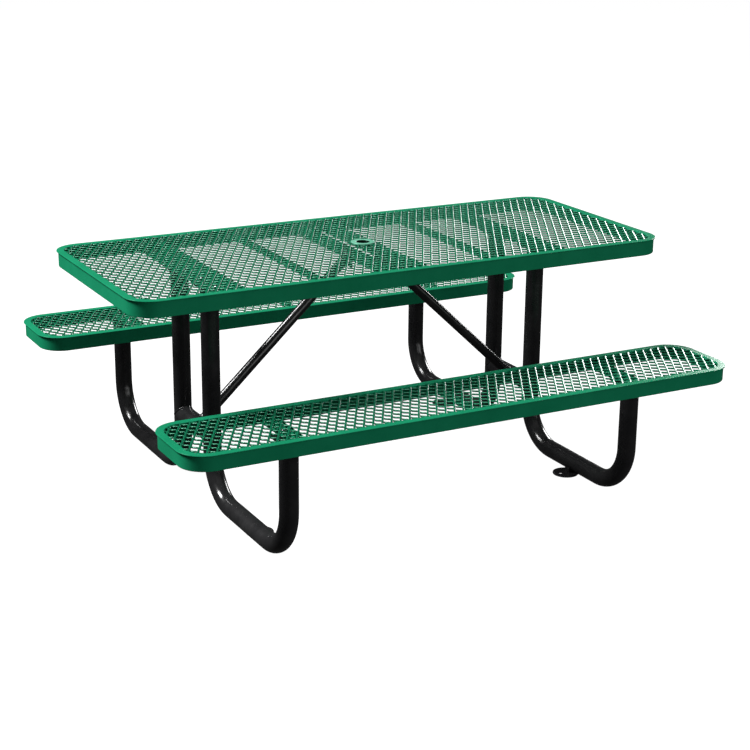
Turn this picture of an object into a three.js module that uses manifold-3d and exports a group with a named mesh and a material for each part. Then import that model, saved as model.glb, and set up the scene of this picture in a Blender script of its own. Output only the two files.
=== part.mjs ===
// Rectangular outdoor picnic table: an expanded-metal top and two attached benches, each a coated steel deck,
// bolted to a frame of bent round tube.
// Millimetres. The origin is on the ground under the middle of the top, +X runs along the table, +Y across it
// and +Z up. "left" and "right" are the -X and +X ends, "front" and "rear" the -Y and +Y sides.

import * as THREE from "three";
import { mergeVertices } from "three/addons/utils/BufferGeometryUtils.js";
import Module from "manifold-3d";

const wasm = await Module();
wasm.setup();

// ---- Driving dimensions ---------------------------------------------------------------------------------

// Decks: the table top and the benches. Heights are those of the rim's upper face.
const TABLE = { length: 1829, width: 762, height: 749, rimDepth: 51 };
const BENCH = { length: 1840, width: 305, height: 419, rimDepth: 48 };
const BENCH_OFFSET = 614; // middle of the top to the middle of a bench

// Rim: a flat flange with a rounded nose, standing out over a vertical skirt
const CORNER_RADIUS = 85;
const FLANGE_WIDTH = 25;
const FLANGE_THICKNESS = 6;
const FLANGE_ROUND = 2;
const FLANGE_ROUND_STEPS = 1;
const NOSE_OVERHANG = 5.5;
const SKIRT_WALL = 5;

// Expanded-metal sheet, as a plain slab of the coated strands' depth
const SHEET_THICKNESS = 6.5;
const SHEET_DROP = 0.5; // below the rim's upper face

// Members under the decks: an angle lies over the posts of the top, and a channel over each post of a bench
const ANGLE_WIDTH = 57;
// A channel's middle is its inset further inboard than its post
const CHANNEL = { width: 38, depth: 25, inset: 9.5 };
const MEMBER_WALL = 5;
const BAR_THICKNESS = 6;
const STIFFENER_DEPTH = 25;
const STIFFENER_X = 302;
const CENTRE_BAR_X = 50;

// Umbrella ring: a collar with a flange that lies on the sheet
const RING = { holeRadius: 21.5, hubRadius: 26, flangeRadius: 38.5, flange: 3, hubDepth: 13, round: 1 };

// Tube frame
const TUBE_RADIUS = 28.5;
const TUBE_WALL = 3.5;
const BEND_RADIUS = 141; // on the tube's centre line
const FRAME_X = 582; // middle of the table to each end frame
const POST_Y = 120;
const BENCH_POST_Y = 674;
const CROSS_TUBE_HEIGHT = 225;

// Braces, from the cross tubes up to the centre bars
const BRACE_RADIUS = 16;
const BRACE_WALL = 2.5;
const BRACE_TOP_HEIGHT = 706;
const BRACE_FOOT_DROP = 6; // the brace aims this far below the cross tube's centre
const BRACE_PLATE = { width: 66, thickness: 5, below: 20 };
const BRACE_BOLT_Y = 24;

// Plates on the tube ends, feet and bolts
const END_PLATE = { width: 57, length: 150, thickness: 5 };
const END_BOLT_SPACING = 110;
const FOOT = { radius: 42, thickness: 5, inset: 33, holeRadius: 7, holeInset: 19 };
const FOOT_LUG = { width: 22, from: 20, to: 30, height: 16 };
const BOLT = { shankRadius: 5, headRadius: 9.2, headHeight: 6.5, nutHeight: 8, tail: 4 };

// Clearance between pieces that touch, and around bolts in their holes
const GAP = 0.3;
const HOLE_RADIUS = BOLT.shankRadius + GAP;

// How far a cutter passes a face, and how far solids that are joined into one run into each other
const OVERLAP = 1;

// Facets of round shapes
const TUBE_SIDES = 16;
const BORE_SIDES = 12;
const BEND_STEPS = 6;
const CORNER_STEPS = 6;
const RING_SIDES = 24;
const FOOT_SIDES = 24;
const SHANK_SIDES = 8;
const HEX = 6;

// ---- Materials ------------------------------------------------------------------------------------------

const coatedGreen = () => new THREE.MeshStandardMaterial({ color: 0x14805c, roughness: 0.35, metalness: 0 });
const paintedBlack = () => new THREE.MeshStandardMaterial({ color: 0x131315, roughness: 0.28, metalness: 0.1 });
const zincSteel = () => new THREE.MeshStandardMaterial({ color: 0xb4b6b8, roughness: 0.4, metalness: 0.9 });

// ---- Helpers --------------------------------------------------------------------------------------------

const piece = (name, geometry, material) => {
  const mesh = new THREE.Mesh(geometry, material);
  mesh.name = name;
  return mesh;
};

// A closed geometry as a manifold solid: only positions are kept, and shared vertices are merged.
function solid(geometry) {
  const bare = geometry.clone();
  bare.deleteAttribute("normal");
  bare.deleteAttribute("uv");
  const merged = mergeVertices(bare, 1e-4);
  return new wasm.Manifold(
    new wasm.Mesh({
      numProp: 3,
      vertProperties: new Float32Array(merged.attributes.position.array),
      triVerts: new Uint32Array(merged.index.array),
    }),
  );
}

function geometryOf(manifold) {
  const mesh = manifold.getMesh();
  const geometry = new THREE.BufferGeometry();
  geometry.setAttribute("position", new THREE.BufferAttribute(mesh.vertProperties, mesh.numProp));
  geometry.setIndex(new THREE.BufferAttribute(mesh.triVerts, 1));
  geometry.computeVertexNormals();
  return geometry;
}

const cut = (geometry, ...tools) =>
  geometryOf(tools.reduce((body, tool) => body.subtract(solid(tool)), solid(geometry)));

const join = (geometry, ...others) =>
  geometryOf(others.reduce((body, other) => body.add(solid(other)), solid(geometry)));

// An upright cylinder between two heights.
function upright(radius, bottom, top, x = 0, y = 0, sides = SHANK_SIDES) {
  return new THREE.CylinderGeometry(radius, radius, top - bottom, sides)
    .rotateX(Math.PI / 2)
    .translate(x, y, (bottom + top) / 2);
}

function box(xSize, ySize, bottom, top, x = 0, y = 0) {
  return new THREE.BoxGeometry(xSize, ySize, top - bottom).translate(x, y, (bottom + top) / 2);
}

// The outline of a deck, drawn in from its full size by an inset.
function deckOutline(deck, inset, Outline = THREE.Shape) {
  const x = deck.length / 2 - inset;
  const y = deck.width / 2 - inset;
  const r = CORNER_RADIUS - inset;
  const outline = new Outline();
  outline.moveTo(x, y - r);
  outline.absarc(x - r, y - r, r, 0, Math.PI / 2);
  outline.absarc(r - x, y - r, r, Math.PI / 2, Math.PI);
  outline.absarc(r - x, r - y, r, Math.PI, 1.5 * Math.PI);
  outline.absarc(x - r, r - y, r, 1.5 * Math.PI, 2 * Math.PI);
  return outline;
}

function circleOutline(radius, x = 0, y = 0, Outline = THREE.Path) {
  const outline = new Outline();
  outline.absarc(x, y, radius, 0, 2 * Math.PI);
  return outline;
}

const plate = (shape, bottom, top, curveSegments) =>
  new THREE.ExtrudeGeometry(shape, { depth: top - bottom, bevelEnabled: false, curveSegments }).translate(
    0,
    0,
    bottom,
  );

// A route that a tube follows, as stations with a place and a direction. A straight run is a single step.
class TubeRoute extends THREE.Curve {
  constructor(stations) {
    super();
    this.stations = stations;
  }

  station(t) {
    return this.stations[Math.round(t * (this.stations.length - 1))];
  }

  getPoint(t) {
    return this.station(t).at.clone();
  }

  getPointAt(t) {
    return this.getPoint(t);
  }

  getTangentAt(t) {
    return this.station(t).along.clone();
  }
}

function straightRoute(start, end) {
  const along = end.clone().sub(start).normalize();
  return new TubeRoute([start, end].map((at) => ({ at, along })));
}

function ringShape(radius, wall) {
  const ring = new THREE.Shape();
  ring.setFromPoints(circlePoints(radius, TUBE_SIDES));
  ring.holes.push(new THREE.Path(circlePoints(radius - wall, BORE_SIDES)));
  return ring;
}

const circlePoints = (radius, sides) =>
  Array.from({ length: sides }, (_, i) => {
    const turn = (2 * Math.PI * i) / sides;
    return new THREE.Vector2(radius * Math.cos(turn), radius * Math.sin(turn));
  });

const tube = (route, radius, wall) =>
  new THREE.ExtrudeGeometry(ringShape(radius, wall), {
    extrudePath: route,
    steps: route.stations.length - 1,
  });

// A plain round bar between two points, used to cope a tube around another.
function bar(radius, start, end) {
  const along = end.clone().sub(start);
  const turn = new THREE.Quaternion().setFromUnitVectors(new THREE.Vector3(0, 1, 0), along.clone().normalize());
  return new THREE.CylinderGeometry(radius, radius, along.length(), TUBE_SIDES * 2)
    .applyQuaternion(turn)
    .translate(...start.clone().add(end).divideScalar(2).toArray());
}

// ---- Decks ----------------------------------------------------------------------------------------------

const sheetTop = (deck) => deck.height - SHEET_DROP;
const sheetBottom = (deck) => sheetTop(deck) - SHEET_THICKNESS;
const memberTop = (deck) => sheetBottom(deck) - GAP;
const rimBottom = (deck) => deck.height - deck.rimDepth;
const memberBottom = (deck) => (deck === TABLE ? rimBottom(deck) : memberTop(deck) - CHANNEL.depth);
const memberLength = (deck) => deck.width - 2 * (NOSE_OVERHANG + SKIRT_WALL + GAP);

// The rim: the flange has rounded edges, and the skirt hangs from its underside.
function rimGeometry(deck) {
  const flange = deckOutline(deck, 0);
  flange.holes.push(deckOutline(deck, FLANGE_WIDTH, THREE.Path));
  const flangeBody = new THREE.ExtrudeGeometry(flange, {
    depth: FLANGE_THICKNESS - 2 * FLANGE_ROUND,
    bevelThickness: FLANGE_ROUND,
    bevelSize: FLANGE_ROUND,
    bevelOffset: -FLANGE_ROUND,
    bevelSegments: FLANGE_ROUND_STEPS,
    curveSegments: CORNER_STEPS,
  }).translate(0, 0, deck.height - FLANGE_THICKNESS + FLANGE_ROUND);

  const skirt = deckOutline(deck, NOSE_OVERHANG);
  skirt.holes.push(deckOutline(deck, NOSE_OVERHANG + SKIRT_WALL, THREE.Path));
  const skirtTop = deck.height - FLANGE_THICKNESS / 2;
  return join(flangeBody, plate(skirt, rimBottom(deck), skirtTop, CORNER_STEPS));
}

// The sheet fills the rim's opening; the table's has a round hole for the umbrella ring.
function sheetGeometry(deck, holeRadius = 0) {
  const sheet = deckOutline(deck, FLANGE_WIDTH + GAP);
  if (holeRadius) sheet.holes.push(new THREE.Path(circlePoints(holeRadius, RING_SIDES)));
  return plate(sheet, sheetBottom(deck), sheetTop(deck), CORNER_STEPS);
}

// A member of the given section lies across the deck, and its bottom takes the bolts of the posts below.
function memberGeometry(deck, points, boltPlaces) {
  const section = new THREE.Shape(points.map(([x, z]) => new THREE.Vector2(x, z)));
  const length = memberLength(deck);
  const member = new THREE.ExtrudeGeometry(section, { depth: length, bevelEnabled: false })
    .rotateX(Math.PI / 2)
    .translate(0, length / 2, 0);
  const bottom = memberBottom(deck);
  const holes = boltPlaces.map((y) =>
    upright(HOLE_RADIUS, bottom - OVERLAP, bottom + MEMBER_WALL + OVERLAP, 0, y),
  );
  return cut(member, ...holes);
}

// An angle: one leg stands on the side that faces the middle of the table, and the other lies outboard of it.
function angleGeometry(deck, boltPlaces, inboard) {
  const half = ANGLE_WIDTH / 2;
  const bottom = memberBottom(deck);
  const points = [
    [-half, bottom],
    [half, bottom],
    [half, memberTop(deck)],
    [half - MEMBER_WALL, memberTop(deck)],
    [half - MEMBER_WALL, bottom + MEMBER_WALL],
    [-half, bottom + MEMBER_WALL],
  ];
  const section = inboard > 0 ? points : points.map(([x, z]) => [-x, z]).reverse();
  return memberGeometry(deck, section, boltPlaces);
}

// A channel, open upwards.
function channelGeometry(deck, boltPlaces) {
  const half = CHANNEL.width / 2;
  const bottom = memberBottom(deck);
  const top = memberTop(deck);
  const points = [
    [-half, bottom],
    [half, bottom],
    [half, top],
    [half - MEMBER_WALL, top],
    [half - MEMBER_WALL, bottom + MEMBER_WALL],
    [MEMBER_WALL - half, bottom + MEMBER_WALL],
    [MEMBER_WALL - half, top],
    [-half, top],
  ];
  return memberGeometry(deck, points, boltPlaces);
}

const edgeBarGeometry = (deck, bottom) => box(BAR_THICKNESS, memberLength(deck), bottom, memberTop(deck));

// A centre bar carries the braces' plates, which bolt through it along X.
function centreBarGeometry() {
  const holes = [-BRACE_BOLT_Y, BRACE_BOLT_Y].map((y) =>
    upright(HOLE_RADIUS, -BAR_THICKNESS, BAR_THICKNESS)
      .rotateY(Math.PI / 2)
      .translate(0, y, braceBoltHeight()),
  );
  return cut(edgeBarGeometry(TABLE, rimBottom(TABLE)), ...holes);
}

function umbrellaRingGeometry() {
  const seat = sheetTop(TABLE) + GAP;
  const top = seat + RING.flange;
  const bottom = seat - RING.hubDepth;
  const profile = [
    [RING.holeRadius, bottom],
    [RING.hubRadius, bottom],
    [RING.hubRadius, seat],
    [RING.flangeRadius, seat],
    [RING.flangeRadius, top - RING.round],
    [RING.flangeRadius - RING.round, top],
    [RING.holeRadius + RING.round, top],
    [RING.holeRadius, top - RING.round],
    [RING.holeRadius, bottom],
  ];
  return new THREE.LatheGeometry(
    profile.map(([r, z]) => new THREE.Vector2(r, z)),
    RING_SIDES,
  ).rotateX(Math.PI / 2);
}

const ENDS = [
  { end: "left", sign: -1 },
  { end: "right", sign: 1 },
];
const SIDES = [
  { side: "front", sign: -1 },
  { side: "rear", sign: 1 },
];

function placed(mesh, x, y = 0) {
  mesh.position.set(x, y, 0);
  return mesh;
}

function tableDeck() {
  const deck = new THREE.Group();
  const postBolts = SIDES.flatMap(({ sign }) => endBoltPlaces(POST_Y).map((y) => sign * y));
  deck.add(piece("table_rim", rimGeometry(TABLE), coatedGreen()));
  deck.add(piece("table_mesh", sheetGeometry(TABLE, RING.hubRadius + GAP), coatedGreen()));
  deck.add(piece("umbrella_ring", umbrellaRingGeometry(), coatedGreen()));
  for (const { end, sign } of ENDS) {
    const angle = piece("table_angle_" + end, angleGeometry(TABLE, postBolts, -sign), coatedGreen());
    const stiffener = edgeBarGeometry(TABLE, memberTop(TABLE) - STIFFENER_DEPTH);
    deck.add(placed(angle, sign * FRAME_X));
    deck.add(placed(piece("table_stiffener_" + end, stiffener, coatedGreen()), sign * STIFFENER_X));
    deck.add(placed(piece("table_centre_bar_" + end, centreBarGeometry(), coatedGreen()), sign * CENTRE_BAR_X));
  }
  return deck;
}

function benchDeck({ side, sign }) {
  const deck = new THREE.Group();
  deck.position.y = sign * BENCH_OFFSET;
  const postBolts = endBoltPlaces(BENCH_POST_Y).map((y) => sign * (y - BENCH_OFFSET));
  const name = "bench_" + side;
  deck.add(piece(name + "_rim", rimGeometry(BENCH), coatedGreen()));
  deck.add(piece(name + "_mesh", sheetGeometry(BENCH), coatedGreen()));
  const stiffener = edgeBarGeometry(BENCH, memberTop(BENCH) - STIFFENER_DEPTH);
  deck.add(piece(name + "_stiffener", stiffener, coatedGreen()));
  for (const { end, sign: endSign } of ENDS) {
    const channel = piece(name + "_channel_" + end, channelGeometry(BENCH, postBolts), coatedGreen());
    deck.add(placed(channel, endSign * (FRAME_X - CHANNEL.inset)));
  }
  return deck;
}

// ---- Tube frame -----------------------------------------------------------------------------------------

const RUN_HEIGHT = FOOT.thickness + GAP + TUBE_RADIUS; // centre line of the run along the ground

const endPlateTop = (deck) => memberBottom(deck) - GAP;
const endPlateBottom = (deck) => endPlateTop(deck) - END_PLATE.thickness;
const endBoltPlaces = (postY) => [postY - END_BOLT_SPACING / 2, postY + END_BOLT_SPACING / 2];

// One leg is one bent tube: down from the top, out along the ground and up to the bench.
function legRoute() {
  const stations = [];
  const station = (y, z, angle) =>
    stations.push({
      at: new THREE.Vector3(0, y, z),
      along: new THREE.Vector3(0, Math.cos(angle), Math.sin(angle)),
    });
  const bend = (centreY, from) => {
    for (let i = 0; i <= BEND_STEPS; i++) {
      const angle = from + ((Math.PI / 2) * i) / BEND_STEPS;
      const y = centreY + BEND_RADIUS * Math.sin(angle);
      const z = RUN_HEIGHT + BEND_RADIUS - BEND_RADIUS * Math.cos(angle);
      station(y, z, angle);
    }
  };
  station(POST_Y, endPlateBottom(TABLE) - GAP, -Math.PI / 2);
  bend(POST_Y + BEND_RADIUS, -Math.PI / 2);
  bend(BENCH_POST_Y - BEND_RADIUS, 0);
  station(BENCH_POST_Y, endPlateBottom(BENCH) - GAP, Math.PI / 2);
  return new TubeRoute(stations);
}

// The plate on a tube's end. Its bolts stand off the tube's axis where the member above does.
function endPlateGeometry(deck, boltX) {
  const bottom = endPlateBottom(deck);
  const top = endPlateTop(deck);
  const holes = [-1, 1].map((sign) =>
    upright(HOLE_RADIUS, bottom - OVERLAP, top + OVERLAP, boltX, (sign * END_BOLT_SPACING) / 2),
  );
  return cut(box(END_PLATE.width, END_PLATE.length, bottom, top), ...holes);
}

// A hexagon bolt with its nut, standing on its head: gripBottom and gripTop are the faces that it clamps.
function boltGeometry(gripBottom, gripTop) {
  const headTop = gripBottom - GAP;
  const nutBottom = gripTop + GAP;
  const nutTop = nutBottom + BOLT.nutHeight;
  return join(
    upright(BOLT.shankRadius, headTop - OVERLAP, nutTop + BOLT.tail),
    upright(BOLT.headRadius, headTop - BOLT.headHeight, headTop, 0, 0, HEX),
    upright(BOLT.headRadius, nutBottom, nutTop, 0, 0, HEX),
  );
}

// The foot is a round anchor plate under the tube's inner side, with a lug that is welded to the tube.
function footGeometry(inboard) {
  const centre = inboard * FOOT.inset;
  const disc = circleOutline(FOOT.radius, centre, 0, THREE.Shape);
  disc.holes.push(circleOutline(FOOT.holeRadius, centre + inboard * FOOT.holeInset));
  const lugMiddle = (inboard * (FOOT_LUG.from + FOOT_LUG.to)) / 2;
  const lugLength = FOOT_LUG.to - FOOT_LUG.from;
  const overTube = FOOT.thickness + FOOT_LUG.height;
  const run = bar(
    TUBE_RADIUS + GAP,
    new THREE.Vector3(0, -FOOT.radius, RUN_HEIGHT),
    new THREE.Vector3(0, FOOT.radius, RUN_HEIGHT),
  );
  const footBody = join(
    plate(disc, 0, FOOT.thickness, FOOT_SIDES / 2),
    box(lugLength, FOOT_LUG.width, FOOT.thickness - OVERLAP, overTube, lugMiddle, 0),
  );
  return cut(footBody, run);
}

// The pieces of one corner of the frame, drawn on the rear side and turned half round for the front.
function frameCorner({ end, sign: endSign }, { side, sign: sideSign }) {
  const corner = new THREE.Group();
  corner.position.x = endSign * FRAME_X;
  corner.rotation.z = sideSign > 0 ? 0 : Math.PI;
  const place = `${side}_${end}`;
  const footY = (POST_Y + BENCH_POST_Y) / 2;
  const inboard = -endSign * sideSign;
  corner.add(piece("leg_" + place, tube(legRoute(), TUBE_RADIUS, TUBE_WALL), paintedBlack()));
  corner.add(placed(piece("foot_" + place, footGeometry(inboard), paintedBlack()), 0, footY));

  const joints = [
    { label: "table", deck: TABLE, y: POST_Y, boltX: 0 },
    { label: "bench", deck: BENCH, y: BENCH_POST_Y, boltX: inboard * CHANNEL.inset },
  ];
  for (const { label, deck, y, boltX } of joints) {
    const stem = `${label}_plate_${place}`;
    corner.add(placed(piece(stem, endPlateGeometry(deck, boltX), paintedBlack()), 0, y));
    endBoltPlaces(y).forEach((boltY, i) => {
      const bolt = boltGeometry(endPlateBottom(deck), memberBottom(deck) + MEMBER_WALL);
      const name = `${label}_bolt_${place}_${["inner", "outer"][i]}`;
      corner.add(placed(piece(name, bolt, zincSteel()), boltX, boltY));
    });
  }
  return corner;
}

function crossTubeGeometry() {
  const [frontPost, rearPost] = SIDES.map(({ sign }) => new THREE.Vector3(0, sign * POST_Y, CROSS_TUBE_HEIGHT));
  const route = straightRoute(frontPost, rearPost);
  const posts = SIDES.map(({ sign }) =>
    upright(
      TUBE_RADIUS + GAP,
      CROSS_TUBE_HEIGHT - 2 * TUBE_RADIUS,
      CROSS_TUBE_HEIGHT + 2 * TUBE_RADIUS,
      0,
      sign * POST_Y,
      2 * TUBE_SIDES,
    ),
  );
  return cut(tube(route, TUBE_RADIUS, TUBE_WALL), ...posts);
}

// The brace's plate stands against the outer face of the centre bar.
const bracePlateX = CENTRE_BAR_X + BAR_THICKNESS / 2 + GAP;
const bracePlateBottom = () => rimBottom(TABLE) - BRACE_PLATE.below;
const braceBoltHeight = () => (rimBottom(TABLE) + memberTop(TABLE)) / 2;

// A brace on the right, in the middle plane of the table: tube and plate are one welded piece.
function braceGeometry() {
  const outer = bracePlateX + BRACE_PLATE.thickness;
  const head = new THREE.Vector3(outer, 0, BRACE_TOP_HEIGHT);
  const foot = new THREE.Vector3(FRAME_X, 0, CROSS_TUBE_HEIGHT - BRACE_FOOT_DROP);
  const along = head.clone().sub(foot).normalize();
  const pastHead = head.clone().addScaledVector(along, 2 * BRACE_RADIUS);
  const crossTube = bar(
    TUBE_RADIUS + GAP,
    new THREE.Vector3(FRAME_X, -POST_Y, CROSS_TUBE_HEIGHT),
    new THREE.Vector3(FRAME_X, POST_Y, CROSS_TUBE_HEIGHT),
  );
  const inside = outer - 2 * BRACE_RADIUS;
  const trim = box(
    4 * BRACE_RADIUS,
    BRACE_PLATE.width,
    rimBottom(TABLE) - TABLE.rimDepth,
    TABLE.height,
    inside,
    0,
  );
  const strut = cut(tube(straightRoute(foot, pastHead), BRACE_RADIUS, BRACE_WALL), crossTube, trim);
  const plateBody = box(
    BRACE_PLATE.thickness,
    BRACE_PLATE.width,
    bracePlateBottom(),
    memberTop(TABLE) - GAP,
    bracePlateX + BRACE_PLATE.thickness / 2,
    0,
  );
  const holes = [-BRACE_BOLT_Y, BRACE_BOLT_Y].map((y) =>
    upright(HOLE_RADIUS, bracePlateX - OVERLAP, outer + OVERLAP)
      .rotateY(Math.PI / 2)
      .translate(0, y, braceBoltHeight()),
  );
  return cut(join(plateBody, strut), ...holes);
}

// The middle of the frame at one end: the cross tube between the posts, the brace and its bolts.
function frameMiddle({ end, sign }) {
  const middle = new THREE.Group();
  middle.rotation.z = sign > 0 ? 0 : Math.PI;
  middle.add(placed(piece("cross_tube_" + end, crossTubeGeometry(), paintedBlack()), FRAME_X));
  middle.add(piece("brace_" + end, braceGeometry(), paintedBlack()));
  for (const { side, sign: sideSign } of SIDES) {
    const gripEnd = bracePlateX + BRACE_PLATE.thickness;
    const gripStart = CENTRE_BAR_X - BAR_THICKNESS / 2;
    const bolt = boltGeometry(gripStart, gripEnd).rotateY(Math.PI / 2);
    const mesh = piece(`brace_bolt_${end}_${side}`, bolt, zincSteel());
    mesh.position.set(0, sign * sideSign * BRACE_BOLT_Y, braceBoltHeight());
    middle.add(mesh);
  }
  return middle;
}

// ---- The whole table ------------------------------------------------------------------------------------

const picnicTable = new THREE.Group();
picnicTable.add(tableDeck());
SIDES.forEach((side) => picnicTable.add(benchDeck(side)));
for (const end of ENDS) {
  picnicTable.add(frameMiddle(end));
  SIDES.forEach((side) => picnicTable.add(frameCorner(end, side)));
}

export default picnicTable;
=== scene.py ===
import math

import bmesh
import bpy
import numpy as np
from mathutils import Matrix, Vector


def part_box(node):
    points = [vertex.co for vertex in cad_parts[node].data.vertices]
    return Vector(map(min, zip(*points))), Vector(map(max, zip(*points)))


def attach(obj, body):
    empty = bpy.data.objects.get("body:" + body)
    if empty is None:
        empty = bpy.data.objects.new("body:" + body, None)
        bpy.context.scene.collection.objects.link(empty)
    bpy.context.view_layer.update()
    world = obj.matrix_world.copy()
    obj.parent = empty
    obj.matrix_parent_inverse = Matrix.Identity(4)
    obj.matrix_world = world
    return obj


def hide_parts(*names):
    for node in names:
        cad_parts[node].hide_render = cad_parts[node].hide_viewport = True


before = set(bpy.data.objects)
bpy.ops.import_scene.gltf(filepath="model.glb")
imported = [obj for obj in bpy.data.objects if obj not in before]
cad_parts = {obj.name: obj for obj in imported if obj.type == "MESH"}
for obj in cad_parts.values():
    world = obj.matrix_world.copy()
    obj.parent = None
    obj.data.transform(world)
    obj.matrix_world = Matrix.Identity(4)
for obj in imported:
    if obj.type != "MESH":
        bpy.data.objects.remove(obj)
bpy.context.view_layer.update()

# An outdoor picnic table: three decks of coated expanded metal on a frame of bent black tube.
# Metres, in the frame of the CAD model: +X along the table, +Y across it, +Z up, the ground at 0.
# "left" and "right" are the -X and +X ends, "front" and "rear" the -Y and +Y sides.

MM = 0.001

# ---- Sizes that the boxes of the CAD nodes don't give -----------------------------------------------------

CORNER_RADIUS = 85 * MM
FLANGE_WIDTH = 25 * MM
FLANGE_THICKNESS = 6 * MM
NOSE_OVERHANG = 5.5 * MM
NOSE_THICKNESS = 3.8 * MM
SKIRT_WALL = 5 * MM
NOSE_ROUND = 1.8 * MM
NOSE_ROOT_ROUND = 0.4 * MM
RIM_ROUND = 2.4 * MM
RIM_INNER_ROUND = 2.5 * MM

# Raised expanded metal: the diamonds are short along X and long along Y. Every bond and strand leans like a
# louvre, falling towards +X, so each strand climbs towards +X from the low half of a bond to a high half.
DIAMOND = Vector((29.5 * MM, 52 * MM))
STRAND_WIDTH = 6.6 * MM
STRAND_THICKNESS = 4.8 * MM
LEAN = 0.6  # fall over run
STRAND_CLIMB = 0.9 * MM  # above and below the middle of the sheet
BOND_SHARE = 0.15  # of a strand's length, at each of its ends
SHEET_OVERLAP = 4 * MM  # how far the strands run into the flange
SHEET_RISE = 2 * MM  # how far the strands stand above the CAD's plain slab
ACUTE_ROUND = 3.2 * MM
OBTUSE_ROUND = 7 * MM
CLIMB_SIGNS = (0, -1, 1, 0, -1, 1, 0, 1, -1, 0, 1, -1)  # for the points of a diamond's outline, in turn
# Half a strand's section, each point a share of the half width and of the depth.
STRAND_SECTION = ((0, 0), (0.72, 0.05), (1, 0.5), (0.72, 0.95), (0, 1))
SHEET_CLIP_STEPS = 6
SHEET_SHARP_ANGLE = 75

MEMBER_WALL = 5 * MM
MEMBER_TIP = 2.2 * MM
MEMBER_FOLD = 7 * MM  # outside radius
MEMBER_INNER_FOLD = 3 * MM
BAR_CORNER = 2.4 * MM
BAR_EDGE = 1.2 * MM
TUBE_RADIUS = 28.5 * MM
BEND_RADIUS = 141 * MM
BRACE_RADIUS = 16 * MM
BRACE_FOOT_DROP = 6 * MM
BRACE_PLATE_THICKNESS = 5 * MM
BRACE_TOP_HEIGHT = 706 * MM
BRACE_PLATE_BELOW = 20 * MM
BRACE_PLATE_WIDTH = 66 * MM
BRACE_PLATE_CORNER = 5 * MM
BRACE_PLATE_EDGE = 0.8 * MM
BRACE_BEAD_RADIUS = 2.7 * MM
END_PLATE_CORNER = 6 * MM
END_PLATE_EDGE = 1 * MM
FOOT_THICKNESS = 5 * MM
FOOT_EDGE = 1.4 * MM
FOOT_RADIUS = 42 * MM
FOOT_HOLE_RADIUS = 7 * MM
FOOT_HOLE_INSET = 19 * MM
FOOT_LUG_WIDTH = 22 * MM
RING_HOLE_RADIUS = 21.5 * MM
RING_HUB_RADIUS = 26 * MM
RING_FLANGE = 3 * MM
BEAD_RADIUS = 3 * MM

BOLT_RADIUS = 5 * MM
BOLT_FLATS = 16 * MM
BOLT_HEAD_HEIGHT = 6.5 * MM
NUT_HEIGHT = 8 * MM
BOLT_TAIL = 4 * MM
THREAD_PITCH = 1.25 * MM
THREAD_DEPTH = 0.6 * MM
BOLT_SHARP_ANGLE = 28
CORNER_RISE = 0.155  # how far a hexagon's corner stands out from its flats
FACE_SHARE = 0.42  # of the flats, the radius of a bolt's flat end face
TAIL_TAPER = 0.8

TUBE_SIDES = 48
ROUND_SIDES = 64
BOLT_SIDES = 48
SHANK_SIDES = 32
BEAD_SIDES = 10
BEAD_DENSITY = 3  # points of a bead's path for each point of the tube's section
BEAD_SWELL = 0.08
BEND_STEPS = 24
CORNER_STEPS = 20
ARC_STEPS = 4

SIDES = {"front": -1, "rear": 1}
ENDS = {"left": -1, "right": 1}
X_AXIS, Y_AXIS, Z_AXIS = Vector((1, 0, 0)), Vector((0, 1, 0)), Vector((0, 0, 1))


# ---- Mesh helpers -----------------------------------------------------------------------------------------


class Shape:
    """Vertices and faces, gathered part by part and then made into one object."""

    def __init__(self):
        self.vertices = []
        self.faces = []

    def loft(self, rings, loop=False):
        """Skins rings that have equally many points. A loft that isn't a loop gets a cap at each end."""
        start = len(self.vertices)
        sides = len(rings[0])
        for ring in rings:
            self.vertices.extend(ring)
        for i in range(len(rings) if loop else len(rings) - 1):
            here = start + i * sides
            there = start + (i + 1) % len(rings) * sides
            for k in range(sides):
                after = (k + 1) % sides
                self.faces.append((here + k, here + after, there + after, there + k))
        if not loop:
            last = start + (len(rings) - 1) * sides
            self.faces.append(tuple(range(start, start + sides)))
            self.faces.append(tuple(range(last, last + sides)))

    def piece(self, name, slot, material, *nodes, sharp_above=50):
        """Makes the object that stands for the CAD nodes."""
        mesh = bpy.data.meshes.new(name)
        mesh.from_pydata([tuple(v) for v in self.vertices], [], self.faces)
        return finished(mesh, name, slot, material, *nodes, sharp_above=sharp_above)


def finished(mesh, name, slot, material, *nodes, sharp_above=50):
    """The object of a mesh, shaded smooth up to an angle. It rides on the table's one body."""
    shell = bmesh.new()
    shell.from_mesh(mesh)
    bmesh.ops.recalc_face_normals(shell, faces=shell.faces)
    shell.to_mesh(mesh)
    shell.free()
    mesh.shade_smooth()
    mesh.set_sharp_from_angle(angle=math.radians(sharp_above))
    mesh.materials.append(material)
    obj = bpy.data.objects.new(name, mesh)
    bpy.context.scene.collection.objects.link(obj)
    obj.modifiers.new("flat_faces", "WEIGHTED_NORMAL").keep_sharp = True
    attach(obj, "root")
    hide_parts(*nodes)
    return obj


def arc_between(start, end, steps):
    """Directions from start to end, both of equal length, along the shorter arc."""
    angle = start.angle(end)
    for k in range(steps + 1):
        t = k / steps
        yield (start * math.sin((1 - t) * angle) + end * math.sin(t * angle)) / math.sin(angle)


def filleted(corners, steps=ARC_STEPS):
    """A closed outline through corners (a, b, radius), each of them turned by an arc."""
    outline = []
    for i, (a, b, radius) in enumerate(corners):
        here = Vector((a, b))
        before = (Vector(corners[i - 1][:2]) - here).normalized()
        after = (Vector(corners[(i + 1) % len(corners)][:2]) - here).normalized()
        half = before.angle(after) / 2
        centre = here + (before + after).normalized() * (radius / math.sin(half))
        reach = radius / math.tan(half)
        spokes = arc_between(here + before * reach - centre, here + after * reach - centre, steps)
        outline.extend(centre + spoke for spoke in spokes)
    return outline


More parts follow.
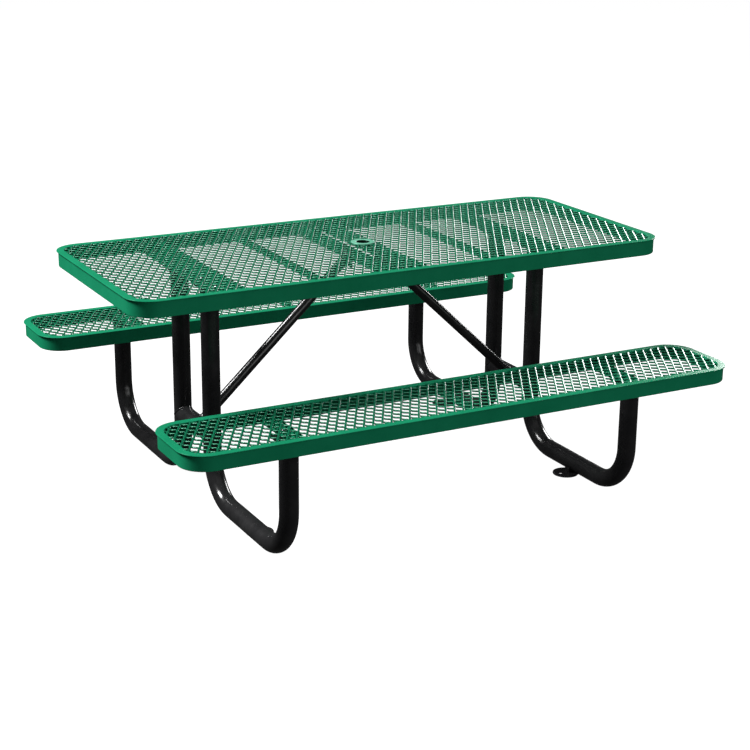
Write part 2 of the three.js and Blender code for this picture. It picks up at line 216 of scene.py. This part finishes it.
def rounded_rectangle(half_a, half_b, radius, steps=ARC_STEPS):
    corners = [(half_a, -half_b), (half_a, half_b), (-half_a, half_b), (-half_a, -half_b)]
    return filleted([(a, b, radius) for a, b in corners], steps)


def edge_profile(thickness, edge):
    """(height, inset) of a plate's sections, from one face to the other, with rounded edges."""
    quarter = [edge * (1 - math.cos(k / ARC_STEPS * math.pi / 2)) for k in range(ARC_STEPS + 1)]
    sections = [(quarter[k], quarter[ARC_STEPS - k]) for k in range(ARC_STEPS + 1)]
    return sections + [(thickness - height, inset) for height, inset in reversed(sections)]


def add_block(shape, low, high, axis, corner, edge):
    """A block whose outline across axis has rounded corners, and whose two end faces have rounded edges."""
    low, high = Vector(low), Vector(high)
    middle, size = (low + high) / 2, high - low
    along = (X_AXIS, Y_AXIS, Z_AXIS)[axis]
    across = (Y_AXIS, Z_AXIS, X_AXIS)[axis], (Z_AXIS, X_AXIS, Y_AXIS)[axis]
    halves = [abs(size.dot(a)) / 2 for a in across]
    rings = []
    for height, inset in edge_profile(size[axis], edge):
        centre = middle + along * (height - size[axis] / 2)
        outline = rounded_rectangle(halves[0] - inset, halves[1] - inset, max(corner - inset, corner / 4))
        rings.append([centre + across[0] * a + across[1] * b for a, b in outline])
    shape.loft(rings)


def circle(centre, first, second, radius, sides=TUBE_SIDES):
    turns = [2 * math.pi * k / sides for k in range(sides)]
    return [centre + (first * math.cos(t) + second * math.sin(t)) * radius for t in turns]


def level_circle(centre, height, radius, sides):
    """A circle parallel to the ground, at a height over centre."""
    return circle(centre + Z_AXIS * height, X_AXIS, Y_AXIS, radius, sides)


def add_bead(shape, path, ripples, radius=BEAD_RADIUS):
    """A weld bead along a closed path, with the low ripples of a hand-run weld."""
    rings = []
    for i, point in enumerate(path):
        along = (path[(i + 1) % len(path)] - path[i - 1]).normalized()
        side = along.orthogonal().normalized() if i == 0 else side - along * side.dot(along)
        side.normalize()
        swell = 1 + BEAD_SWELL * math.cos(2 * math.pi * ripples * i / len(path))
        rings.append(circle(point, side, along.cross(side), radius * swell, BEAD_SIDES))
    shape.loft(rings, loop=True)


def denser(path, times):
    """A closed path with points put in between."""
    found = []
    for i, point in enumerate(path):
        after = path[(i + 1) % len(path)]
        found.extend(point.lerp(after, k / times) for k in range(times))
    return found


# ---- Materials --------------------------------------------------------------------------------------------


class Finish:
    """A node material: a Principled shader with a few helpers for what feeds it."""

    def __init__(self, name):
        self.material = bpy.data.materials.new(name)
        self.material.use_nodes = True
        self.tree = self.material.node_tree
        self.shader = self.tree.nodes["Principled BSDF"]
        self.place = self.tree.nodes.new("ShaderNodeTexCoord").outputs["Object"]

    def node(self, kind, **settings):
        made = self.tree.nodes.new(kind)
        for key, value in settings.items():
            setattr(made, key, value)
        return made

    def noise(self, scale, detail=2, roughness=0.5, stretch=None):
        made = self.node("ShaderNodeTexNoise")
        made.inputs["Scale"].default_value = scale
        made.inputs["Detail"].default_value = detail
        made.inputs["Roughness"].default_value = roughness
        place = self.place
        if stretch:
            mapping = self.node("ShaderNodeMapping")
            mapping.inputs["Scale"].default_value = stretch
            self.tree.links.new(place, mapping.inputs["Vector"])
            place = mapping.outputs["Vector"]
        self.tree.links.new(place, made.inputs["Vector"])
        return made.outputs["Fac"]

    def ranged(self, value, low, high, from_low=0.3, from_high=0.7):
        made = self.node("ShaderNodeMapRange")
        for socket, number in zip(made.inputs[1:5], (from_low, from_high, low, high)):
            socket.default_value = number
        self.tree.links.new(value, made.inputs["Value"])
        return made.outputs["Result"]

    def mix(self, factor, first, second):
        made = self.node("ShaderNodeMix", data_type="RGBA")
        self.tree.links.new(factor, made.inputs["Factor"])
        for socket, colour in zip((made.inputs[6], made.inputs[7]), (first, second)):
            if isinstance(colour, tuple):
                socket.default_value = (*colour, 1)
            else:
                self.tree.links.new(colour, socket)
        return made.outputs[2]

    def axis_distance(self):
        """How far a point is from the frame's Z axis."""
        flat = self.node("ShaderNodeVectorMath", operation="MULTIPLY")
        flat.inputs[1].default_value = (1, 1, 0)
        self.tree.links.new(self.place, flat.inputs[0])
        length = self.node("ShaderNodeVectorMath", operation="LENGTH")
        self.tree.links.new(flat.outputs["Vector"], length.inputs[0])
        return length.outputs["Value"]

    def bump(self, *layers):
        """Layers of (height, distance in metres), one over the other."""
        normal = None
        for height, distance in layers:
            made = self.node("ShaderNodeBump")
            made.inputs["Distance"].default_value = distance
            self.tree.links.new(height, made.inputs["Height"])
            if normal:
                self.tree.links.new(normal, made.inputs["Normal"])
            normal = made.outputs["Normal"]
        self.tree.links.new(normal, self.shader.inputs["Normal"])

    def feed(self, name, value):
        self.tree.links.new(value, self.shader.inputs[name])

    def set(self, **values):
        for name, value in values.items():
            self.shader.inputs[name.replace("_", " ")].default_value = value


def thermoplastic(name, deep, bright, peel_scale, roughness, gloss, shaded_bore_radius=0):
    """The thick green coating: satin, with flow marks, and a little lighter where it ran thick. A bore on
    the Z axis is painted black inside: painted shade in the hole."""
    finish = Finish(name)
    flow = finish.noise(9, detail=4, roughness=0.55)
    speckle = finish.noise(420, detail=2)
    tone = finish.mix(finish.ranged(flow, 0, 1), deep, bright)
    tone = finish.mix(finish.ranged(speckle, 0, 0.12), tone, bright)
    # Inside the bore the base colour is painted black: painted shade in the hole.
    if shaded_bore_radius:
        black_to, green_from = shaded_bore_radius + 0.2 * MM, shaded_bore_radius + 1.2 * MM
        outside = finish.ranged(finish.axis_distance(), 0, 1, black_to, green_from)
        tone = finish.mix(outside, BORE_PAINTED_SHADE, tone)
    finish.feed("Base Color", tone)
    finish.feed("Roughness", finish.ranged(finish.noise(30, detail=3), *roughness))
    peel = finish.noise(peel_scale, detail=2, roughness=0.4)
    sag = finish.noise(45, detail=1)
    finish.bump((sag, 0.25 * MM), (peel, 0.1 * MM))
    finish.set(Specular_IOR_Level=gloss, Specular_Tint=MINT_SHEEN)
    return finish.material


def powder_coat():
    """Black powder coat: glossy, with a fine orange peel and a trace of dust."""
    finish = Finish("powder_coat")
    dust = finish.ranged(finish.noise(14, detail=5, roughness=0.6), 0, 1, 0.45, 0.75)
    finish.feed("Base Color", finish.mix(dust, BLACK, DUSTY_BLACK))
    finish.feed("Roughness", finish.ranged(finish.noise(60, detail=3), 0.16, 0.24))
    finish.bump((finish.noise(90, detail=1), 0.05 * MM), (finish.noise(700, detail=2), 0.025 * MM))
    finish.set(Specular_IOR_Level=0.3)
    return finish.material


def zinc_plate():
    """Zinc-plated steel: dull metal with fine turning marks and darker stains."""
    finish = Finish("zinc_plate")
    stain = finish.noise(160, detail=4, roughness=0.6)
    finish.feed("Base Color", finish.mix(finish.ranged(stain, 0, 1), ZINC_STAINED, ZINC_CLEAN))
    finish.feed("Roughness", finish.ranged(finish.noise(500, detail=3), 0.28, 0.5))
    finish.bump((finish.noise(900, detail=2, stretch=(1, 1, 6)), 0.03 * MM))
    finish.set(Metallic=0.95)
    return finish.material


DEEP_GREEN, BRIGHT_GREEN = (0.004, 0.118, 0.055), (0.006, 0.142, 0.068)
# The sheet's greens are the rims' greens at about 0.6 times: painted shade on the strands' sides.
SHEET_SHADED_DEEP, SHEET_SHADED_BRIGHT = (0.0022, 0.072, 0.034), (0.0034, 0.09, 0.043)
# The collar's light mint greens are a painted sheen, standing in for the glint on its rounded section.
RING_SHEEN_DEEP, RING_SHEEN_BRIGHT = (0.07, 0.22, 0.15), (0.1, 0.29, 0.2)
# Painted shade: the black painted inside the collar's bore.
BORE_PAINTED_SHADE = (0.0015, 0.006, 0.004)
MINT_SHEEN = (0.5, 1, 0.8, 1)
BLACK, DUSTY_BLACK = (0.008, 0.008, 0.0085), (0.014, 0.014, 0.0145)
ZINC_STAINED, ZINC_CLEAN = (0.42, 0.43, 0.45), (0.62, 0.63, 0.65)
rim_coat = thermoplastic("rim_coat", DEEP_GREEN, BRIGHT_GREEN, 260, roughness=(0.24, 0.32), gloss=0.05)
# The sheet's coat is painted darker than the rims' coat, as painted shade.
sheet_coat = thermoplastic("sheet_coat", SHEET_SHADED_DEEP, SHEET_SHADED_BRIGHT, 420, roughness=(0.26, 0.36), gloss=0.26)
# The collar's coat has a painted sheen in its lighter greens and painted shade in its bore.
ring_coat = thermoplastic(
    "ring_coat",
    RING_SHEEN_DEEP,
    RING_SHEEN_BRIGHT,
    260,
    roughness=(0.25, 0.35),
    gloss=0.25,
    shaded_bore_radius=RING_HOLE_RADIUS,
)
powder = powder_coat()
zinc = zinc_plate()


# ---- Decks ------------------------------------------------------------------------------------------------


def corner_stations(low, high, steps):
    """Stations round a deck's outline: a corner's centre, and a direction outwards from it."""
    reach = (high - low) / 2 - Vector((CORNER_RADIUS, CORNER_RADIUS, 0))
    middle = (low + high) / 2
    for quarter, (sign_x, sign_y) in enumerate([(1, 1), (-1, 1), (-1, -1), (1, -1)]):
        centre = middle + Vector((sign_x * reach.x, sign_y * reach.y, 0))
        for step in range(steps + 1):
            angle = (quarter + step / steps) * math.pi / 2
            yield centre, Vector((math.cos(angle), math.sin(angle), 0))


def make_rim(deck):
    """A flange with a rounded nose over a vertical skirt, swept round the deck's rounded outline."""
    low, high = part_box(deck + "_rim")
    depth = high.z - low.z
    skirt_inside = NOSE_OVERHANG + SKIRT_WALL
    profile = filleted(
        [
            (0, 0, NOSE_ROUND),
            (0, NOSE_THICKNESS, NOSE_ROUND),
            (NOSE_OVERHANG, NOSE_THICKNESS, NOSE_ROOT_ROUND),
            (NOSE_OVERHANG, depth, RIM_ROUND),
            (skirt_inside, depth, RIM_ROUND),
            (skirt_inside, FLANGE_THICKNESS, RIM_INNER_ROUND),
            (FLANGE_WIDTH, FLANGE_THICKNESS, RIM_ROUND),
            (FLANGE_WIDTH, 0, RIM_ROUND),
        ]
    )
    rings = []
    for centre, outwards in corner_stations(low, high, CORNER_STEPS):
        plan = Vector((centre.x, centre.y, high.z))
        rings.append([plan + outwards * (CORNER_RADIUS - inset) - Z_AXIS * drop for inset, drop in profile])
    shape = Shape()
    shape.loft(rings, loop=True)
    shape.piece("rim_" + deck, "coated_steel", rim_coat, deck + "_rim")


def diamond_rings():
    """The rings of one diamond cell, from its outline on the strands' middle lines, over the strands' top,
    down the side of the opening and back underneath. A ring has a point at each corner and two on an edge."""
    half = DIAMOND / 2
    lean = half.angle(Vector((1, 0)))
    acute = half.y - STRAND_WIDTH / 2 / math.cos(lean)
    obtuse = half.x - STRAND_WIDTH / 2 / math.sin(lean)
    edge = Vector((obtuse, acute)).normalized()
    near_obtuse = Vector((-obtuse, 0)) + edge * (OBTUSE_ROUND / math.tan(lean))
    near_acute = Vector((0, acute)) - edge * (ACUTE_ROUND * math.tan(lean))
    obtuse_end = Vector((-obtuse + OBTUSE_ROUND * (1 / math.sin(lean) - 1), 0))
    acute_end = Vector((0, acute - ACUTE_ROUND * (1 / math.cos(lean) - 1)))
    left, top = Vector((-half.x, 0)), Vector((0, half.y))
    outer = all_round(left, left.lerp(top, BOND_SHARE), left.lerp(top, 1 - BOND_SHARE), top)
    inner = all_round(obtuse_end, near_obtuse, near_acute, acute_end)
    climb = STRAND_CLIMB * np.array(CLIMB_SIGNS)

    rings = []
    for across, down in STRAND_SECTION:
        ring = []
        for far, near, height in zip(outer, inner, climb):
            point = far.lerp(near, across)
            fall = LEAN * (point.x - far.x)
            ring.append((point.x, point.y, height - fall + (0.5 - down) * STRAND_THICKNESS))
        rings.append(ring)
    return np.array(rings)


def all_round(a, b, c, d):
    """A diamond's outline, from the points of its upper left edge, left corner to top, mirrored round."""
    flip_x = [Vector((-p.x, p.y)) for p in (c, b, a)]
    flip_both = [Vector((-p.x, -p.y)) for p in (b, c, d)]
    flip_y = [Vector((p.x, -p.y)) for p in (c, b)]
    return [a, b, c, d, *flip_x, *flip_both, *flip_y]


def lattice_mesh(name, centres, rings, height):
    """A mesh of diamond cells that share the vertices on their outlines."""
    levels, sides = rings.shape[:2]
    places = np.concatenate([centres, np.full((len(centres), 1), height)], axis=1)
    cells = places[:, None, None, :] + rings[None]
    vertices, merged = np.unique(np.round(cells.reshape(-1, 3), 7), axis=0, return_inverse=True)
    index = merged.reshape(len(centres), levels, sides)
    around = np.roll(index, -1, axis=2)
    faces = np.stack([index[:, :-1], around[:, :-1], around[:, 1:], index[:, 1:]], axis=-1).reshape(-1, 4)
    mesh = bpy.data.meshes.new(name)
    mesh.from_pydata(vertices.tolist(), [], faces.tolist())
    return mesh


def open_round_hole(shell, radius):
    """Takes the strands away inside a circle round the origin; what is cut ends on the circle."""
    inside = {v for v in shell.verts if v.co.xy.length < radius}
    gone = [face for face in shell.faces if all(v in inside for v in face.verts)]
    bmesh.ops.delete(shell, geom=gone, context="FACES")
    for v in shell.verts:
        if v.co.xy.length < radius:
            v.co.xy = v.co.xy.normalized() * radius


def make_sheet(deck, hole_radius=0):
    """Expanded metal from flange to flange, one mesh, cut along the rim's rounded outline."""
    rim_low, rim_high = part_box(deck + "_rim")
    low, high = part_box(deck + "_mesh")
    clip = [
        (centre + outwards * (CORNER_RADIUS - FLANGE_WIDTH + SHEET_OVERLAP), outwards)
        for centre, outwards in corner_stations(rim_low, rim_high, SHEET_CLIP_STEPS)
    ]
    middle = (low + high) / 2
    rows = math.ceil((high.y - low.y) / DIAMOND.y) + 2
    columns = math.ceil((high.x - low.x) / DIAMOND.x / 2) + 1
    centres = np.array(
        [
            (middle.x + (column + (row % 2) / 2) * DIAMOND.x, middle.y + row * DIAMOND.y / 2)
            for row in range(-rows, rows + 1)
            for column in range(-columns, columns + 1)
        ]
    )
    rings = diamond_rings()
    height = high.z + SHEET_RISE - rings[:, :, 2].max()
    outline = rings[0, ::3, :2]
    within = np.ones((len(centres), len(outline)), bool)
    for point, outwards in clip:
        gap = (centres[:, None] + outline[None] - np.array(point.xy)) @ np.array(outwards.xy)
        within &= gap < 0
    whole = centres[within.all(axis=1)]
    cut = centres[within.any(axis=1) & ~within.all(axis=1)]

    shell = bmesh.new()
    shell.from_mesh(lattice_mesh("cut_cells", cut, rings, height))
    for point, outwards in clip:
        geometry = [*shell.verts, *shell.edges, *shell.faces]
        bmesh.ops.bisect_plane(
            shell, geom=geometry, dist=1e-7, plane_co=point, plane_no=outwards, clear_outer=True
        )
    shell.from_mesh(lattice_mesh("whole_cells", whole, rings, height))
    bmesh.ops.remove_doubles(shell, verts=shell.verts, dist=1e-6)
    if hole_radius:
        open_round_hole(shell, hole_radius)
    ends = [edge for edge in shell.edges if edge.is_boundary]
    bmesh.ops.holes_fill(shell, edges=ends, sides=0)
    mesh = bpy.data.meshes.new("sheet_" + deck)
    shell.to_mesh(mesh)
    shell.free()
    finished(mesh, "sheet_" + deck, "coated_mesh", sheet_coat, deck + "_mesh", sharp_above=SHEET_SHARP_ANGLE)


def make_member(node, corners):
    """A folded member across the deck. Its corners are (a, b, radius), from the middle of its bottom."""
    low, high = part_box(node)
    middle = (low.x + high.x) / 2
    section = filleted(corners)
    shape = Shape()
    shape.loft([[Vector((middle + a, y, low.z + b)) for a, b in section] for y in (low.y, high.y)])
    shape.piece(node + "_folded", "coated_steel", rim_coat, node)


def make_angle(node, inboard):
    """One leg stands on the side of the table's middle, and the other lies outboard of it."""
    low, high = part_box(node)
    half, height = inboard * (high.x - low.x) / 2, high.z - low.z
    wall = inboard * MEMBER_WALL
    make_member(
        node,
        [
            (-half, 0, MEMBER_TIP),
            (half, 0, MEMBER_FOLD),
            (half, height, MEMBER_TIP),
            (half - wall, height, MEMBER_TIP),
            (half - wall, MEMBER_WALL, MEMBER_INNER_FOLD),
            (-half, MEMBER_WALL, MEMBER_TIP),
        ],
    )


def make_channel(node):
    """A channel, open upwards."""
    low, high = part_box(node)
    half, height = (high.x - low.x) / 2, high.z - low.z
    inner = half - MEMBER_WALL
    make_member(
        node,
        [
            (-half, 0, MEMBER_FOLD),
            (half, 0, MEMBER_FOLD),
            (half, height, MEMBER_TIP),
            (inner, height, MEMBER_TIP),
            (inner, MEMBER_WALL, MEMBER_INNER_FOLD),
            (-inner, MEMBER_WALL, MEMBER_INNER_FOLD),
            (-inner, height, MEMBER_TIP),
            (-half, height, MEMBER_TIP),
        ],
    )


def make_bar(node):
    """A flat bar on edge, its edges rounded by the coating."""
    shape = Shape()
    low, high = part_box(node)
    add_block(shape, low, high, axis=1, corner=BAR_CORNER, edge=BAR_EDGE)
    shape.piece(node + "_coated", "coated_steel", rim_coat, node)


def make_umbrella_ring():
    """A collar with a flange that lies on the sheet, turned from one rounded profile."""
    low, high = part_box("umbrella_ring")
    outer, seat = (high.x - low.x) / 2, high.z - RING_FLANGE
    profile = filleted(
        [
            (RING_HOLE_RADIUS, low.z, 1.5 * MM),
            (RING_HUB_RADIUS, low.z, 1.5 * MM),
            (RING_HUB_RADIUS, seat, 1 * MM),
            (outer, seat, 1.2 * MM),
            (outer, high.z, 1.7 * MM),
            (RING_HOLE_RADIUS, high.z, 2.4 * MM),
        ]
    )
    shape = Shape()
    shape.loft([level_circle(Vector(), z, radius, ROUND_SIDES) for radius, z in profile], loop=True)
    shape.piece("umbrella_collar", "coated_steel", ring_coat, "umbrella_ring")


# ---- Tube frame -------------------------------------------------------------------------------------------


def make_leg(side, end):
    """One bent tube: down from the top, out along the ground and up to the bench, with its welds."""
    place = f"{side}_{end}"
    low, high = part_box("leg_" + place)
    sign = SIDES[side]
    x = (low.x + high.x) / 2
    inner = (low.y if sign > 0 else -high.y) + TUBE_RADIUS
    outer = (high.y if sign > 0 else -low.y) - TUBE_RADIUS
    run = low.z + TUBE_RADIUS
    bench_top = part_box("bench_plate_" + place)[0].z

    def ring(y, z, angle):
        """A section at distance y from the middle, on a route that climbs outwards at an angle."""
        across = Vector((0, -sign * math.sin(angle), math.cos(angle)))
        return circle(Vector((x, sign * y, z)), X_AXIS, across, TUBE_RADIUS)

    rings = [ring(inner, high.z, -math.pi / 2)]
    for centre, start in ((inner + BEND_RADIUS, -math.pi / 2), (outer - BEND_RADIUS, 0)):
        for k in range(BEND_STEPS + 1):
            angle = start + k / BEND_STEPS * math.pi / 2
            y = centre + BEND_RADIUS * math.sin(angle)
            rings.append(ring(y, run + BEND_RADIUS * (1 - math.cos(angle)), angle))
    rings.append(ring(outer, bench_top, math.pi / 2))
    shape = Shape()
    shape.loft(rings)
    for y, z in ((inner, high.z), (outer, bench_top)):
        centre = Vector((x, sign * y, z - BEAD_RADIUS / 2))
        add_bead(shape, circle(centre, X_AXIS, Y_AXIS, TUBE_RADIUS, BEAD_DENSITY * TUBE_SIDES), ripples=36)
    shape.piece("bent_tube_" + place, "frame_tube", powder, "leg_" + place)


def make_cross_tube(end):
    """The tube between the posts of one end, its ends coped round them and welded."""
    node = "cross_tube_" + end
    low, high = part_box(node)
    x, z = (low.x + high.x) / 2, (low.z + high.z) / 2
    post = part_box("leg_rear_" + end)[0].y + TUBE_RADIUS
    shape = Shape()
    ends = []
    for sign in SIDES.values():
        ring = circle(Vector((x, 0, z)), X_AXIS, Z_AXIS, TUBE_RADIUS)
        for point in ring:
            point.y = sign * (post - math.sqrt(max(TUBE_RADIUS**2 - (point.x - x) ** 2, 0)))
        ends.append(ring)
    shape.loft(ends)
    for ring in ends:
        add_bead(shape, denser(ring, BEAD_DENSITY), ripples=30)
    shape.piece("tie_tube_" + end, "frame_tube", powder, node)


def line_meets_tube(point, along, axis_x, axis_z, radius):
    """Where a line in the direction of along leaves an endless tube that lies along Y."""
    x, z = point.x - axis_x, point.z - axis_z
    a = along.x**2 + along.z**2
    b = x * along.x + z * along.z
    c = x**2 + z**2 - radius**2
    return point + along * ((math.sqrt(b * b - a * c) - b) / a)


def make_brace(end):
    """A sloping tube from the cross tube to a plate that is bolted to the centre bar."""
    sign = ENDS[end]
    cross_low, cross_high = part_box("cross_tube_" + end)
    axis_x, axis_z = (cross_low.x + cross_high.x) / 2, (cross_low.z + cross_high.z) / 2
    low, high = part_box("brace_" + end)
    plate_inner = low.x if sign > 0 else high.x
    plate_outer = plate_inner + sign * BRACE_PLATE_THICKNESS
    plate_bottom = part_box("table_centre_bar_" + end)[0].z - BRACE_PLATE_BELOW

    foot = Vector((axis_x, 0, axis_z - BRACE_FOOT_DROP))
    head = Vector((plate_outer, 0, BRACE_TOP_HEIGHT))
    along = (head - foot).normalized()
    section = circle(foot, Y_AXIS, along.cross(Y_AXIS), BRACE_RADIUS)
    at_foot = [line_meets_tube(p, along, axis_x, axis_z, TUBE_RADIUS) for p in section]
    at_head = [p + along * ((plate_outer - p.x) / along.x) for p in section]
    shape = Shape()
    shape.loft([at_foot, at_head])
    for weld in (at_foot, at_head):
        add_bead(shape, denser(weld, BEAD_DENSITY), ripples=22, radius=BRACE_BEAD_RADIUS)
    corners = sorted((plate_inner, plate_outer))
    half = BRACE_PLATE_WIDTH / 2
    add_block(
        shape,
        (corners[0], -half, plate_bottom),
        (corners[1], half, high.z),
        axis=0,
        corner=BRACE_PLATE_CORNER,
        edge=BRACE_PLATE_EDGE,
    )
    shape.piece("sloping_brace_" + end, "frame_tube", powder, "brace_" + end)


def make_foot(side, end):
    """A round anchor plate with a hole, and the lug that joins it to the tube."""
    place = f"{side}_{end}"
    low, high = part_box("foot_" + place)
    leg_low, leg_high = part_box("leg_" + place)
    inwards = -ENDS[end]
    tube_x = (leg_low.x + leg_high.x) / 2
    tip = low.x if inwards < 0 else high.x
    centre = Vector((tip - inwards * FOOT_RADIUS, (low.y + high.y) / 2, 0))
    hole = centre + X_AXIS * (inwards * FOOT_HOLE_INSET)
    shape = Shape()
    sections = edge_profile(FOOT_THICKNESS, FOOT_EDGE)
    rim = [level_circle(centre, z, FOOT_RADIUS - inset, ROUND_SIDES) for z, inset in sections]
    bore = [level_circle(hole, z, FOOT_HOLE_RADIUS + inset, ROUND_SIDES) for z, inset in sections]
    shape.loft([*rim, *reversed(bore)], loop=True)
    lug_half = FOOT_LUG_WIDTH / 2
    lug_reach = sorted((tube_x + inwards * TUBE_RADIUS * 0.6, tube_x + inwards * (TUBE_RADIUS + 1.5 * MM)))
    add_block(
        shape,
        (lug_reach[0], centre.y - lug_half, FOOT_THICKNESS / 2),
        (lug_reach[1], centre.y + lug_half, high.z),
        axis=2,
        corner=3 * MM,
        edge=2 * MM,
    )
    shape.piece("anchor_foot_" + place, "frame_tube", powder, "foot_" + place)


def make_end_plate(node):
    """A plate on a tube's end, its corners eased."""
    shape = Shape()
    low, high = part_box(node)
    add_block(shape, low, high, axis=2, corner=END_PLATE_CORNER, edge=END_PLATE_EDGE)
    shape.piece(node + "_eased", "frame_tube", powder, node)


# ---- Bolts ------------------------------------------------------------------------------------------------


def hexagon(height, flats, chamfer):
    """A hexagon's section at a height; the chamfer turns its corners towards a circle."""
    ring = []
    for k in range(BOLT_SIDES):
        turn = 2 * math.pi * k / BOLT_SIDES
        corner = (turn + math.pi / 6) % (math.pi / 3) - math.pi / 6
        radius = min(flats / 2 / math.cos(corner), flats / 2 * (1 + CORNER_RISE * (1 - chamfer)))
        ring.append(Vector((radius * math.cos(turn), radius * math.sin(turn), height)))
    return ring


def bolt_mesh(grip):
    """A hexagon bolt with its nut. It stands on its head, with the head's lower face at height 0."""
    flats = BOLT_FLATS
    head_top = BOLT_HEAD_HEIGHT
    nut_bottom = head_top + grip
    nut_top = nut_bottom + NUT_HEIGHT
    shape = Shape()
    face = level_circle(Vector(), 0, flats * FACE_SHARE, BOLT_SIDES)
    head = [face, hexagon(0.1 * MM, flats * 0.94, 1), hexagon(1 * MM, flats, 0)]
    shape.loft([*head, hexagon(head_top, flats, 0)])
    nut = [hexagon(nut_bottom, flats * 0.95, 1), hexagon(nut_bottom + 0.8 * MM, flats, 0)]
    nut += [hexagon(nut_top - 0.8 * MM, flats, 0), hexagon(nut_top, flats * 0.95, 1)]
    shape.loft(nut)
    shank = [level_circle(Vector(), head_top - MM, BOLT_RADIUS, SHANK_SIDES)]
    turns = int((nut_top + BOLT_TAIL - nut_bottom) / THREAD_PITCH)
    for k in range(2 * turns):
        height = nut_bottom + k * THREAD_PITCH / 2
        shank.append(level_circle(Vector(), height, BOLT_RADIUS - (k % 2) * THREAD_DEPTH, SHANK_SIDES))
    shank.append(level_circle(Vector(), nut_top + BOLT_TAIL, BOLT_RADIUS * TAIL_TAPER, SHANK_SIDES))
    shape.loft(shank)
    return shape


def make_bolt(node, turned):
    """turned carries the bolt's own upright axis to where the bolt points."""
    low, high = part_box(node)
    size = high - low
    length = max(size)
    grip = length - BOLT_HEAD_HEIGHT - NUT_HEIGHT - BOLT_TAIL
    along = turned @ Z_AXIS
    shape = bolt_mesh(grip)
    base = (low + high) / 2 - along * (length / 2)
    shape.vertices = [base + turned @ v for v in shape.vertices]
    shape.piece(node + "_hexagon", "fastener", zinc, node, sharp_above=BOLT_SHARP_ANGLE)


# ---- The whole table --------------------------------------------------------------------------------------


def make_table():
    for deck in ("table", "bench_front", "bench_rear"):
        make_rim(deck)
        make_sheet(deck, hole_radius=RING_HUB_RADIUS - 0.5 * MM if deck == "table" else 0)
    for end in ENDS:
        make_angle("table_angle_" + end, -ENDS[end])
        make_bar("table_stiffener_" + end)
        make_bar("table_centre_bar_" + end)
        make_cross_tube(end)
        make_brace(end)
        for side in SIDES:
            make_leg(side, end)
            make_foot(side, end)
            for deck in ("table", "bench"):
                make_end_plate(f"{deck}_plate_{side}_{end}")
                for place in ("inner", "outer"):
                    make_bolt(f"{deck}_bolt_{side}_{end}_{place}", Matrix.Identity(3))
            outwards = Matrix.Rotation(ENDS[end] * math.pi / 2, 3, "Y")
            make_bolt(f"brace_bolt_{end}_{side}", outwards)
    for side in SIDES:
        make_bar(f"bench_{side}_stiffener")
        for end in ENDS:
            make_channel(f"bench_{side}_channel_{end}")
    make_umbrella_ring()


# ---- Camera, floor and light ------------------------------------------------------------------------------

CAMERA_PLACE = (-2.4663, -4.7004, 2.0122)
CAMERA_YAW, CAMERA_PITCH, CAMERA_ROLL = 0.491346, 0.311529, 0.009809  # from +Y towards +X, down, and over
CAMERA_LENS = 81.61
FLOOR_REACH = 60
SOFTBOX_TARGET = (0, 0, 0.6)
WORLD_STRENGTH = 0.04


def make_camera():
    """Stands off the table's left front corner, looking down on the top."""
    ahead = Vector((math.sin(CAMERA_YAW), math.cos(CAMERA_YAW), 0))
    forwards = ahead * math.cos(CAMERA_PITCH) - Z_AXIS * math.sin(CAMERA_PITCH)
    level = Vector((math.cos(CAMERA_YAW), -math.sin(CAMERA_YAW), 0))
    right = level * math.cos(CAMERA_ROLL) + level.cross(forwards) * math.sin(CAMERA_ROLL)
    data = bpy.data.cameras.new("camera")
    data.lens = CAMERA_LENS
    data.sensor_width = 36
    data.clip_end = 200
    camera = bpy.data.objects.new("camera", data)
    bpy.context.scene.collection.objects.link(camera)
    camera.matrix_world = Matrix((right, right.cross(forwards), -forwards)).transposed().to_4x4()
    camera.location = CAMERA_PLACE
    bpy.context.scene.camera = camera


def make_floor():
    """White paper that lights itself: it sends no light up to the table and isn't mirrored in it."""
    mesh = bpy.data.meshes.new("floor")
    signs = ((-1, -1), (1, -1), (1, 1), (-1, 1))
    mesh.from_pydata([(a * FLOOR_REACH, b * FLOOR_REACH, 0) for a, b in signs], [], [(0, 1, 2, 3)])
    floor = bpy.data.objects.new("floor", mesh)
    bpy.context.scene.collection.objects.link(floor)
    finish = Finish("floor_paper")
    finish.set(Base_Color=(0.1, 0.1, 0.1, 1), Roughness=0.9, Specular_IOR_Level=0.0)
    finish.set(Emission_Color=(1, 1, 1, 1), Emission_Strength=0.98)
    mesh.materials.append(finish.material)
    floor.visible_diffuse = False
    floor.visible_glossy = False


def softbox(name, place, width, height, radiance):
    """An oblong area light that faces the table."""
    data = bpy.data.lights.new(name, "AREA")
    data.shape = "RECTANGLE"
    data.size = width
    data.size_y = height
    data.energy = radiance * math.pi * width * height
    light = bpy.data.objects.new(name, data)
    bpy.context.scene.collection.objects.link(light)
    light.location = place
    light.rotation_mode = "QUATERNION"
    light.rotation_quaternion = (Vector(SOFTBOX_TARGET) - Vector(place)).to_track_quat("-Z", "Y")


def make_lights():
    """A high key at the left rear, a dim fill in front, a low panel at the right rear, a faint overhead."""
    world = bpy.data.worlds.new("studio")
    world.use_nodes = True
    background = world.node_tree.nodes["Background"]
    background.inputs["Color"].default_value = (1, 1, 1, 1)
    background.inputs["Strength"].default_value = WORLD_STRENGTH
    bpy.context.scene.world = world
    softbox("left_key", place=(-5.9, 3.3, 7.0), width=2.6, height=2.6, radiance=132)
    softbox("front_fill", place=(2.4, -7.5, 2.6), width=10, height=5, radiance=2.7)
    softbox("back_panel", place=(6.2, 3.3, 2.3), width=3.0, height=1.6, radiance=28)
    softbox("overhead", place=(0, -1.5, 6), width=8, height=7, radiance=0.35)


make_table()
make_camera()
make_floor()
make_lights()
bpy.context.scene.view_settings.view_transform = "Standard"
